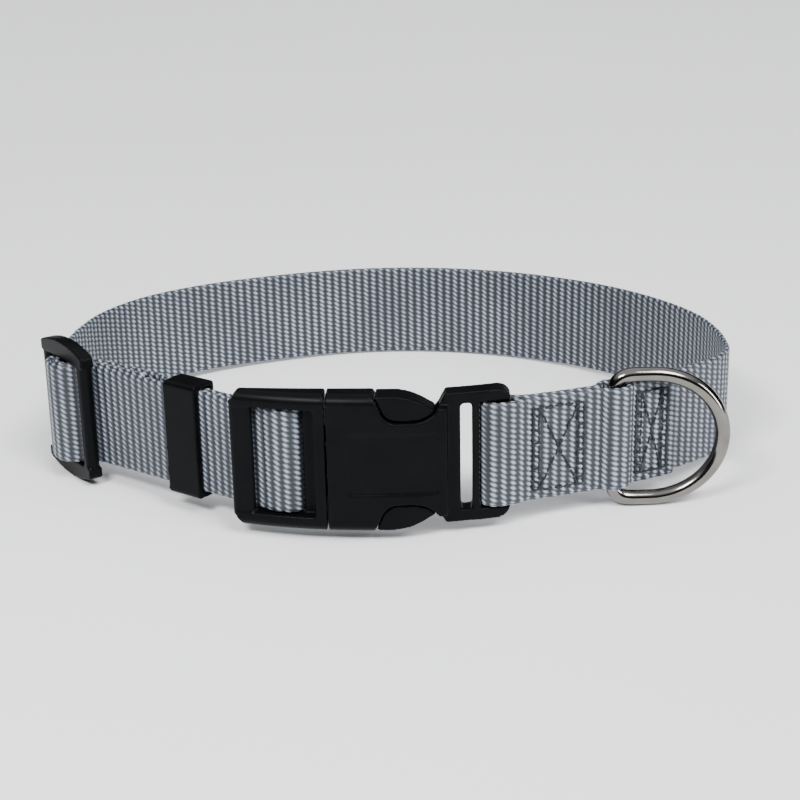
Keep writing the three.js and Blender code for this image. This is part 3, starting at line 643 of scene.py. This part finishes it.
# %% Seams and boxes
def stitched_line(start, end):
    """Ends of the stitches on a straight seam from start to end, each a (station, height)."""
    start, end = np.array(start, float), np.array(end, float)
    count = max(1, int(round(np.linalg.norm(end - start) / STITCH_PITCH)))
    middles = (np.arange(count) + 0.5) / count
    half = 0.5 * STITCH_SHARE / count
    first = start + (middles - half)[:, None] * (end - start)
    last = start + (middles + half)[:, None] * (end - start)
    ends = np.stack([first, last], axis=1)
    return ends + jitter.uniform(-STITCH_JITTER, STITCH_JITTER, ends.shape)


def stitched_box(low, high, reach):
    """A box of seams with a cross in it, and a second upright row inside each end, which
    short ties join to the first."""
    inner_low, inner_high = low + ROW_SPACING, high - ROW_SPACING
    seams = [
        ((low, -reach), (low, reach)), ((high, -reach), (high, reach)),
        ((inner_low, -reach), (inner_low, reach)), ((inner_high, -reach), (inner_high, reach)),
        ((low, reach), (high, reach)), ((low, -reach), (high, -reach)),
        ((inner_low, -reach), (inner_high, reach)), ((inner_low, reach), (inner_high, -reach)),
    ]
    heights = np.linspace(-TIE_REACH * reach, TIE_REACH * reach, TIES)
    for outer, inner in ((low, inner_low), (high, inner_high)):
        seams += [((outer - TIE_OVERHANG, z), (inner, z)) for z in heights]
    return np.concatenate([stitched_line(*seam) for seam in seams])


# %% Threads as thin tubes
def stitch_tubes(name, ends, side):
    """Thin tubes over these stitches, on the side of the strap that the sign names. A tube's
    middle line rises from the face and dives at both ends as a fourth power of the place
    along it, and its radius shrinks there as the root of one less the sixth power."""
    t = np.linspace(-1, 1, 9)
    share = ((t + 1) / 2)[None, :, None]
    spots = ends[:, :1] * (1 - share) + ends[:, 1:] * share
    place, way, left = along(spots[..., 0])
    out = left * side
    up = np.array([0.0, 0.0, 1.0])
    slope = ends[:, 1] - ends[:, 0]
    slope = (slope / np.linalg.norm(slope, axis=1, keepdims=True))[:, None]
    tangent = way * slope[..., :1] + up * slope[..., 1:]
    beside = np.cross(out, tangent)
    thick = THREAD_RADIUS * np.sqrt(np.clip(1 - t ** 6, 0.02, 1))
    lift = STRAP_HALF_THICK - THREAD_SINK + THREAD_RISE * (1 - t ** 4) - THREAD_DIVE * t ** 4
    centre = place + up * spots[..., 1:] + out * lift[None, :, None]
    angle = np.linspace(0, 2 * np.pi, 8, endpoint=False)
    ring = (beside[:, :, None] * np.cos(angle)[:, None] * THREAD_WIDTH
            + out[:, :, None] * np.sin(angle)[:, None] * THREAD_HEIGHT)
    points = centre[:, :, None] + ring * thick[None, :, None, None]
    count, rows, columns, _ = points.shape
    corners, cells = grid_corners(rows, columns)
    chart = np.stack([cells[..., 0] / (rows - 1), cells[..., 1] / columns], axis=-1)
    shift = (np.arange(count) * rows * columns)[:, None, None]
    all_corners = (corners[None] + shift).reshape(-1, 4)
    charts = np.tile(chart, (count, 1, 1)).astype(float)
    rim = np.arange(columns)
    caps = [rim + k * rows * columns for k in range(count)]
    caps += [rim[::-1] + (rows - 1) * columns + k * rows * columns for k in range(count)]
    made = new_piece(name, resting(points).reshape(-1, 3), all_corners, charts, caps)
    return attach(made, "collar")


# %% The two boxes beside the ring's pocket, and the one behind the slider
FIRST_BOX = (26.2, 38.6)  # stations on the strap's line
SECOND_BOX = (2.4, 11.2)
SLIDER_BOX = (strap_length - 11.5, strap_length - 2.0)
INNER_LAYER = (54, 108)
OUTER_LAYER = (470, 510)
BOX_REACH = 9.9
outer_seams = np.concatenate([
    stitched_box(*FIRST_BOX, BOX_REACH),
    stitched_box(*SECOND_BOX, BOX_REACH),
])
inner_seams = outer_seams.copy()
inner_seams[..., 0] = station_beside(outer_seams[..., 0].ravel(), *INNER_LAYER).reshape(-1, 2)
leg_seams = stitched_box(*SLIDER_BOX, BOX_REACH)
leg_seams[..., 0] = station_beside(leg_seams[..., 0].ravel(), *OUTER_LAYER).reshape(-1, 2)
stitch_pieces = [
    stitch_tubes("stitches_front", outer_seams, 1.0),
    stitch_tubes("stitches_inside", inner_seams, 1.0),
    stitch_tubes("stitches_slider_end", leg_seams, -1.0),
]
print("stitches on each face:", len(outer_seams), "and behind the slider:", len(leg_seams))

# %% The thread's finish
thread = Finish("grey_thread")
thread_along, thread_round = thread.map_axes()
twist = thread.wave(thread.sum("ADD", thread.sum("MULTIPLY", thread_along, 5.0), thread_round))
fuzz = thread.noise(thread.place(), 2500.0, 2.0)
thread_tone = thread.sum("MULTIPLY_ADD", twist, 0.5, thread.sum("MULTIPLY", fuzz, 0.5))
thread.set(
    Base_Color=thread.ramp(thread_tone, (0.0, (0.007, 0.007, 0.009)), (1.0, (0.034, 0.035, 0.039))),
    Roughness=thread.sum("MULTIPLY_ADD", fuzz, 0.2, 0.5), Specular_IOR_Level=0.15)
thread.bump(twist, 0.5, 0.0001)
for made in stitch_pieces:
    made.data.materials.append(thread.material)
print("thread finish nodes:", len(thread.tree.nodes))

# %% [markdown]
# ## The D-ring
#
# The ring is bent from round steel wire, welded in the middle of its straight bar, where
# the pocket hides the weld, and plated with nickel. It is a circle carried along a
# closed line: a straight bar, two tight bends, two short arms and an oval bow.

# %% The ring's surface
RING_ARM = 15.15
RING_STRAIGHT = 9.0
RING_REACH = 25.6
RING_BEND = 4.6
RING_ROWS = 260
WIRE_COLUMNS = 32
RING_EASING = 12
RING_DROP = 0.6  # the ring hangs this much lower than the strap's middle
RING_OPEN = math.radians(22.6)  # how far it stands off the strap
ring_place, pocket_heading = sewn_line(RING_STATION)
ring_spot = np.array([ring_place.real, ring_place.imag, -RING_DROP])
ring_heading = pocket_heading - RING_OPEN


def ring_line(count):
    """Evenly spaced points on the ring's closed centre line, in its own plane: half the bar,
    a parabola for the bend, an arm and a quarter of an oval, then the same mirrored."""
    t = np.linspace(0, 1, 80)
    bar = np.stack([0 * t, t * (RING_ARM - RING_BEND)], axis=1)
    bend = np.stack([RING_BEND * t ** 2, RING_ARM - RING_BEND * (1 - t) ** 2], axis=1)
    arm = np.stack([RING_BEND + t * (RING_STRAIGHT - RING_BEND), 0 * t + RING_ARM], axis=1)
    angle = np.pi / 2 * (1 - t)
    bow = np.stack([np.cos(angle) * (RING_REACH - RING_STRAIGHT) + RING_STRAIGHT,
                    np.sin(angle) * RING_ARM], axis=1)
    half = np.concatenate([bar[:-1], bend[:-1], arm[:-1], bow])
    whole = np.concatenate([half, half[::-1][1:] * [1, -1]])
    lengths = np.concatenate([[0], np.cumsum(np.linalg.norm(np.diff(whole, axis=0), axis=1))])
    even = np.linspace(0, lengths[-1], count, endpoint=False)
    return np.stack([np.interp(even, lengths, whole[:, k]) for k in range(2)], axis=1)


def eased(values, passes):
    """Each point moves towards the mean of its two neighbours, a few times over."""
    for _ in range(passes):
        values = 0.5 * values + 0.25 * (np.roll(values, 1, axis=0) + np.roll(values, -1, axis=0))
    return values


# %% The wire round its line
ring_rows = eased(ring_line(RING_ROWS), RING_EASING)
ring_strides = np.linalg.norm(np.roll(ring_rows, -1, axis=0) - ring_rows, axis=1)
print("length of the ring's wire in mm:", round(float(ring_strides.sum()), 1))
ring_way = np.roll(ring_rows, -1, axis=0) - np.roll(ring_rows, 1, axis=0)
ring_way /= np.linalg.norm(ring_way, axis=1, keepdims=True)
ring_out = np.stack([ring_way[:, 1], -ring_way[:, 0]], axis=1)
wire_angle = np.linspace(0, 2 * np.pi, WIRE_COLUMNS, endpoint=False)
wire_out = WIRE_RADIUS * np.cos(wire_angle)
in_plane = ring_rows[:, None] + ring_out[:, None] * wire_out[None, :, None]
off_plane = np.broadcast_to(WIRE_RADIUS * np.sin(wire_angle), in_plane.shape[:2])
cos_ring, sin_ring = math.cos(ring_heading), math.sin(ring_heading)
ring_points = np.stack([
    in_plane[..., 0] * cos_ring - off_plane * sin_ring,
    in_plane[..., 0] * sin_ring + off_plane * cos_ring,
    in_plane[..., 1]], axis=-1) + ring_spot
ring_corners, ring_cells = grid_corners(*ring_points.shape[:2], close_rows=True)
ring_chart = ring_cells / np.array([RING_ROWS, WIRE_COLUMNS])
ring = new_piece("d_ring_wire", resting(ring_points).reshape(-1, 3), ring_corners, ring_chart)
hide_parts("d_ring")
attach(ring, "ring")

# %% The nickel's finish
nickel = Finish("plated_nickel")
smudge = nickel.noise(nickel.place(), 160.0, 3.0)
scratches = nickel.noise(nickel.place(), 1800.0, 2.0)
nickel.set(
    Base_Color=nickel.ramp(smudge, (0.3, (0.16, 0.152, 0.139)), (0.7, (0.22, 0.21, 0.195))),
    Metallic=1.0,
    Roughness=nickel.sum("MULTIPLY_ADD", smudge, 0.14, 0.07))
nickel.bump(scratches, 0.12, 0.00003)
ring.data.materials.append(nickel.material)
print("nickel finish nodes:", len(nickel.tree.nodes))

# %% [markdown]
# ## The moulded pieces
#
# The buckle's two halves, the slider and the keeper are black acetal, moulded in steel
# tools. Their shapes are already right in the plain model, so each is a copy of it. Real
# mouldings have no knife edges. The copy's surface is drawn again on a fine even net and
# each point of the net is eased towards its neighbours, which rounds every edge a
# little and gives the thin bright line that makes plastic look like plastic. The net
# also joins what overlaps, so a dark box of plastic that is added to the copy first fills
# the buckle's window beside the strap, and the window shows dark instead of the floor
# behind it.

# %% Copies with rounded edges
BUCKLE_HALF = 16.35
BUCKLE_DEPTH = 7.8
BACK_RADIUS = 380.0
EDGE_RADIUS = 2.4
EDGE_REACH = 0.6  # how far a point may be from the quarter circle and still move onto it
buckle_spot = np.array([buckle_place.real, buckle_place.imag, 0.0])


def round_long_edges(mesh, start, end):
    """Moves the points near the buckle's four long edges onto a true quarter circle that
    follows its curved face and back, between two stations along the buckle. Each point
    keeps its angle round the circle's middle and gets the circle's radius."""
    count = len(mesh.vertices)
    flat = np.empty(count * 3, np.float32)
    mesh.vertices.foreach_get("co", flat)
    spots = (flat.reshape(-1, 3) / MM - rest_shift) @ turn_rows - buckle_spot
    x, y, z = spots.T
    along_edge = (x > start) & (x < end)
    back = BUCKLE_DEPTH + arc_depth(x, BACK_RADIUS)
    for face, inwards in ((arc_depth(x, FACE_RADIUS), 1), (back, -1)):
        centre_y = face + inwards * EDGE_RADIUS
        out_y = (centre_y - y) * inwards
        out_z = np.abs(z) - (BUCKLE_HALF - EDGE_RADIUS)
        reach = np.hypot(out_y, out_z)
        near = along_edge & (out_y > 0) & (out_z > 0) & (np.abs(reach - EDGE_RADIUS) < EDGE_REACH)
        scale = np.where(near, EDGE_RADIUS / np.maximum(reach, 0.1), 1.0)
        y = centre_y - inwards * out_y * scale
        z = np.where(near, np.sign(z) * (BUCKLE_HALF - EDGE_RADIUS + out_z * scale), z)
    points = resting(np.stack([x, y, z], axis=1) + buckle_spot)
    mesh.vertices.foreach_set("co", np.ascontiguousarray(points, np.float32).ravel())
    mesh.update()


# %% A copy on an even net
# A box of black plastic that fills the window beside the strap, so that it shows dark instead of
# the floor behind it.
WINDOW_DARK_FILL = ((-17.7, -58.6, -13.1), (-15.0, -56.6, 13.1))  # two corners of the box
MERGE_DISTANCE = 0.00001


def add_box(joiner, low, high):
    """Adds a closed box, given by two corners in the collar's own frame, with faces outwards."""
    grid = np.meshgrid(*zip(low, high), indexing="ij")
    spots = np.stack(grid, axis=-1).reshape(-1, 3)
    corners = [joiner.verts.new(spot) for spot in resting(spots)]
    sides = ((0, 1, 3, 2), (4, 6, 7, 5), (0, 4, 5, 1), (2, 3, 7, 6), (0, 2, 6, 4), (1, 5, 7, 3))
    for side in sides:
        joiner.faces.new([corners[k] for k in side])


def moulded_piece(node, name, net, passes, round_edges=None, box=None):
    """A copy of a plain node, drawn again on a net this fine in millimetres and eased."""
    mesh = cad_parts[node].data.copy()
    joiner = bmesh.new()
    joiner.from_mesh(mesh)
    bmesh.ops.remove_doubles(joiner, verts=joiner.verts, dist=MERGE_DISTANCE)
    if box:
        add_box(joiner, *box)
    joiner.to_mesh(mesh)
    joiner.free()
    rough = bpy.data.objects.new(name + "_rough", mesh)
    bpy.context.scene.collection.objects.link(rough)
    redrawn = rough.modifiers.new("even_net", "REMESH")
    redrawn.mode = "VOXEL"
    redrawn.voxel_size = net * MM
    easing = rough.modifiers.new("eased", "SMOOTH")
    easing.factor = 0.5
    easing.iterations = passes
    bpy.context.view_layer.update()
    smooth = bpy.data.meshes.new_from_object(
        rough.evaluated_get(bpy.context.evaluated_depsgraph_get()))
    bpy.data.objects.remove(rough)
    smooth.name = name
    if round_edges:
        round_long_edges(smooth, *round_edges)
    smooth.polygons.foreach_set("use_smooth", np.ones(len(smooth.polygons), bool))
    smooth.materials.clear()
    made = bpy.data.objects.new(name, smooth)
    bpy.context.scene.collection.objects.link(made)
    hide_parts(node)
    print(name, "faces:", len(smooth.polygons))
    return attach(made, "collar")


# %% The four mouldings
plastic_pieces = [
    moulded_piece("buckle_female", "buckle_body", 0.3, 2, (0.4, 10.4)),
    moulded_piece("buckle_male", "buckle_prongs", 0.3, 2, (-21.3, -0.4), WINDOW_DARK_FILL),
    moulded_piece("slider", "slider_frame", 0.28, 4),
    moulded_piece("keeper", "keeper_loop", 0.28, 3),
]

# %% The plastic's finish
plastic = Finish("black_acetal")
grain = plastic.noise(plastic.place(), 2600.0, 2.0)
flow = plastic.noise(plastic.place(), 120.0, 3.0)
plastic.set(
    Base_Color=plastic.ramp(flow, (0.3, (0.0012, 0.0014, 0.0018)), (0.7, (0.0022, 0.0025, 0.003))),
    Roughness=plastic.sum("MULTIPLY_ADD", flow, 0.14, 0.3), Specular_IOR_Level=0.06)
plastic.bump(grain, 0.22, 0.00004)
for made in plastic_pieces:
    made.data.materials.append(plastic.material)
print("plastic finish nodes:", len(plastic.tree.nodes))

# %% [markdown]
# ## Floor, lights and camera
#
# A pale floor and large soft lights, as in a product photo. Bright boxes with dark air
# between them give the ring its white and black bands.

# %% The floor
FLOOR_HALF = 12.0
FLOOR_LEVEL = -0.0002
floor_mesh = bpy.data.meshes.new("floor")
signs = ((-1, -1), (1, -1), (1, 1), (-1, 1))
floor_mesh.from_pydata(
    [(x * FLOOR_HALF, y * FLOOR_HALF, FLOOR_LEVEL) for x, y in signs], [], [(0, 1, 2, 3)])
floor = bpy.data.objects.new("floor", floor_mesh)
bpy.context.scene.collection.objects.link(floor)
pale = Finish("pale_floor")
floor_tone = pale.noise(pale.place(), 3.0)
pale.set(
    Base_Color=pale.ramp(floor_tone, (0.0, (0.80, 0.80, 0.80)), (1.0, (0.86, 0.86, 0.86))),
    Roughness=0.8)
floor.data.materials.append(pale.material)
print("side of the floor in m:", 2 * FLOOR_HALF)

# %% The sky, dark at the horizon and bright above
world = bpy.data.worlds.new("studio")
world.use_nodes = True
sky_tree = world.node_tree
sky_place = sky_tree.nodes.new("ShaderNodeTexCoord")
sky_parts = sky_tree.nodes.new("ShaderNodeSeparateXYZ")
sky_ramp = sky_tree.nodes.new("ShaderNodeValToRGB")
sky_tree.links.new(sky_place.outputs["Generated"], sky_parts.inputs[0])
sky_tree.links.new(sky_parts.outputs[2], sky_ramp.inputs[0])
sky_tree.links.new(sky_ramp.outputs[0], sky_tree.nodes["Background"].inputs["Color"])
sky_ramp.color_ramp.elements[0].position = 0.42
sky_ramp.color_ramp.elements[0].color = (0.012, 0.013, 0.015, 1.0)
sky_ramp.color_ramp.elements[1].position = 0.80
sky_ramp.color_ramp.elements[1].color = (0.93, 0.96, 1.0, 1.0)
sky_tree.nodes["Background"].inputs["Strength"].default_value = 1.2
bpy.context.scene.world = world


# %% The lights
def aimed(name, lamp, place, target):
    """A lamp at a place, turned towards its target, all in metres."""
    made = bpy.data.objects.new(name, lamp)
    bpy.context.scene.collection.objects.link(made)
    made.location = place
    way = Vector(target) - Vector(place)
    made.rotation_mode = "QUATERNION"
    made.rotation_quaternion = way.to_track_quat("-Z", "Y")
    return made


def soft_light(name, place, width, height, power):
    """A rectangular light of this size in metres, turned towards the collar."""
    lamp = bpy.data.lights.new(name, "AREA")
    lamp.shape = "RECTANGLE"
    lamp.size = width
    lamp.size_y = height
    lamp.energy = power
    return aimed(name, lamp, place, (0.0, 0.0, 0.0))


even_light = bpy.data.lights.new("even_light", "SUN")
even_light.energy = 3.3
even_light.angle = math.radians(25)
aimed("even_light", even_light, (0.45, -0.55, 0.9), (0.0, 0.0, 0.0))
soft_light("key_light", (-0.20, -0.45, 0.50), 0.22, 0.12, 5.0)
soft_light("side_light", (0.60, -0.30, 0.20), 0.10, 0.30, 2.5)
print("lights:", [lamp.name for lamp in bpy.data.lights])

# %% The camera, at the photo's angle
CAMERA_TURN = math.radians(2.2)
CAMERA_PITCH = math.radians(19.715)
CAMERA_ROLL = math.radians(-1.133)
cos_turn, sin_turn = math.cos(CAMERA_TURN), math.sin(CAMERA_TURN)
level = np.array([[cos_turn, sin_turn, 0], [-sin_turn, cos_turn, 0], [0, 0, 1]])
pitch_rows = np.array([
    [1, 0, 0],
    [0, math.sin(CAMERA_PITCH), math.cos(CAMERA_PITCH)],
    [0, math.cos(CAMERA_PITCH), -math.sin(CAMERA_PITCH)]])
roll_rows = np.array([
    [math.cos(CAMERA_ROLL), math.sin(CAMERA_ROLL), 0],
    [-math.sin(CAMERA_ROLL), math.cos(CAMERA_ROLL), 0],
    [0, 0, 1]])
right, upward, forward = turned(roll_rows @ pitch_rows @ level)
spot = resting([17.81, -411.62, 140.79])
lens = bpy.data.cameras.new("camera")
lens.lens = 76.5
lens.sensor_width = 36.0
lens.clip_start = 0.01
camera = bpy.data.objects.new("camera", lens)
bpy.context.scene.collection.objects.link(camera)
camera.matrix_world = Matrix([
    [right[k], upward[k], -forward[k], spot[k]] for k in range(3)] + [[0, 0, 0, 1]])
bpy.context.scene.camera = camera
print("camera height in mm:", round(float(spot[2]) / MM, 1))

# %% Bringing every object up to date
bpy.context.view_layer.update()
